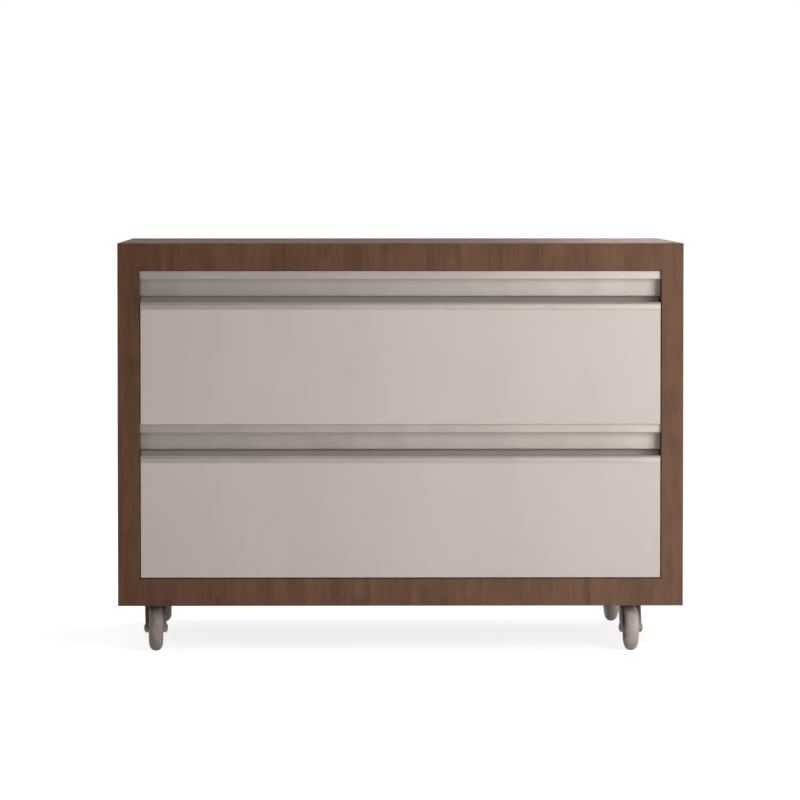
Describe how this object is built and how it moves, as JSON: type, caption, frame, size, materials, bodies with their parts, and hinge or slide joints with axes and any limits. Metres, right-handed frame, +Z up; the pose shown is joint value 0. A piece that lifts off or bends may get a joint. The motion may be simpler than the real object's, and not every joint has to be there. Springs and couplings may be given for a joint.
{
  "type": "mobile office drawer unit",
  "caption": "Low office drawer unit on swivel casters: walnut-toned case, pale inset drawers on telescopic slides, and full-width recessed finger pulls.",
  "frame": {"origin": "on the floor below the middle of the case", "axes": "+X to the right as seen from the front, -Y out of the drawers towards the user, +Z up"},
  "size_m": [0.62, 0.45, 0.45],
  "materials": {
    "walnut_laminate": "satin walnut laminate",
    "pale_laminate": "satin pale greige laminate",
    "pale_painted_aluminium": "satin pale greige paint",
    "drawer_box_board": "matt melamine board",
    "zinc_plated_steel": "zinc plated",
    "caster_steel": "dark plated",
    "hub_plastic": "matt",
    "tyre_rubber": "matt grey rubber"
  },
  "bodies": {
    "case": {"top_panel": "walnut_laminate", "left_side_panel": "walnut_laminate", "right_side_panel": "walnut_laminate", "back_panel": "walnut_laminate", "base_front_rail": "walnut_laminate", "base_rear_rail": "walnut_laminate", "base_left_rail": "walnut_laminate", "base_right_rail": "walnut_laminate", "bottom_panel": "walnut_laminate", "upper_pull_rail": "pale_painted_aluminium", "lower_pull_rail": "pale_painted_aluminium", "lower_rail_left_bracket": "zinc_plated_steel", "lower_rail_right_bracket": "zinc_plated_steel", "upper_left_slide_outer": "zinc_plated_steel", "upper_right_slide_outer": "zinc_plated_steel", "lower_left_slide_outer": "zinc_plated_steel", "lower_right_slide_outer": "zinc_plated_steel", "front_left_caster_plate": "caster_steel", "front_right_caster_plate": "caster_steel", "rear_left_caster_plate": "caster_steel", "rear_right_caster_plate": "caster_steel"},
    "upper_drawer": {"upper_front_panel": "pale_laminate", "upper_grip_edge": "pale_painted_aluminium", "upper_box_front": "drawer_box_board", "upper_box_left_side": "drawer_box_board", "upper_box_right_side": "drawer_box_board", "upper_box_back": "drawer_box_board", "upper_box_bottom": "drawer_box_board", "upper_left_slide_inner": "zinc_plated_steel", "upper_right_slide_inner": "zinc_plated_steel"},
    "upper_slide_middles": {"upper_left_slide_middle": "zinc_plated_steel", "upper_right_slide_middle": "zinc_plated_steel"},
    "lower_drawer": {"lower_front_panel": "pale_laminate", "lower_grip_edge": "pale_painted_aluminium", "lower_box_front": "drawer_box_board", "lower_box_left_side": "drawer_box_board", "lower_box_right_side": "drawer_box_board", "lower_box_back": "drawer_box_board", "lower_box_bottom": "drawer_box_board", "lower_left_slide_inner": "zinc_plated_steel", "lower_right_slide_inner": "zinc_plated_steel"},
    "lower_slide_middles": {"lower_left_slide_middle": "zinc_plated_steel", "lower_right_slide_middle": "zinc_plated_steel"},
    "front_left_fork": {"front_left_caster_fork": "caster_steel", "front_left_caster_axle": "caster_steel"},
    "front_left_wheel": {"front_left_wheel_hub": "hub_plastic", "front_left_wheel_tyre": "tyre_rubber"},
    "front_right_fork": {"front_right_caster_fork": "caster_steel", "front_right_caster_axle": "caster_steel"},
    "front_right_wheel": {"front_right_wheel_hub": "hub_plastic", "front_right_wheel_tyre": "tyre_rubber"},
    "rear_left_fork": {"rear_left_caster_fork": "caster_steel", "rear_left_caster_axle": "caster_steel"},
    "rear_left_wheel": {"rear_left_wheel_hub": "hub_plastic", "rear_left_wheel_tyre": "tyre_rubber"},
    "rear_right_fork": {"rear_right_caster_fork": "caster_steel", "rear_right_caster_axle": "caster_steel"},
    "rear_right_wheel": {"rear_right_wheel_hub": "hub_plastic", "rear_right_wheel_tyre": "tyre_rubber"}
  },
  "joints": [
    {"name": "upper_drawer_slide", "type": "slide", "parent": "case", "child": "upper_drawer", "axis": [0, -1, 0], "range_m": [0, 0.37]},
    {"name": "upper_slide_middles_slide", "type": "slide", "parent": "case", "child": "upper_slide_middles", "axis": [0, -1, 0], "range_m": [0, 0.185]},
    {"name": "lower_drawer_slide", "type": "slide", "parent": "case", "child": "lower_drawer", "axis": [0, -1, 0], "range_m": [0, 0.37]},
    {"name": "lower_slide_middles_slide", "type": "slide", "parent": "case", "child": "lower_slide_middles", "axis": [0, -1, 0], "range_m": [0, 0.185]},
    {"name": "front_left_swivel", "type": "hinge", "parent": "case", "child": "front_left_fork", "pos_m": [-0.271, -0.165, 0], "axis": [0, 0, 1], "continuous": true},
    {"name": "front_left_roll", "type": "hinge", "parent": "front_left_fork", "child": "front_left_wheel", "pos_m": [-0.26966, -0.18696, 0.02528], "axis": [0.9981, 0.061, 0], "continuous": true},
    {"name": "front_right_swivel", "type": "hinge", "parent": "case", "child": "front_right_fork", "pos_m": [0.254, -0.165, 0], "axis": [0, 0, 1], "continuous": true},
    {"name": "front_right_roll", "type": "hinge", "parent": "front_right_fork", "child": "front_right_wheel", "pos_m": [0.25477, -0.18699, 0.02528], "axis": [0.9994, 0.0349, 0], "continuous": true},
    {"name": "rear_left_swivel", "type": "hinge", "parent": "case", "child": "rear_left_fork", "pos_m": [-0.271, 0.177, 0], "axis": [0, 0, 1], "continuous": true},
    {"name": "rear_left_roll", "type": "hinge", "parent": "rear_left_fork", "child": "rear_left_wheel", "pos_m": [-0.27177, 0.19899, 0.02528], "axis": [-0.9994, -0.0349, 0], "continuous": true},
    {"name": "rear_right_swivel", "type": "hinge", "parent": "case", "child": "rear_right_fork", "pos_m": [0.254, 0.177, 0], "axis": [0, 0, 1], "continuous": true},
    {"name": "rear_right_roll", "type": "hinge", "parent": "rear_right_fork", "child": "rear_right_wheel", "pos_m": [0.25323, 0.19899, 0.02528], "axis": [-0.9994, -0.0349, 0], "continuous": true}
  ],
  "couplings": [
    {"joint": "upper_slide_middles_slide", "follows": "upper_drawer_slide", "ratio": 0.5},
    {"joint": "lower_slide_middles_slide", "follows": "lower_drawer_slide", "ratio": 0.5}
  ]
}
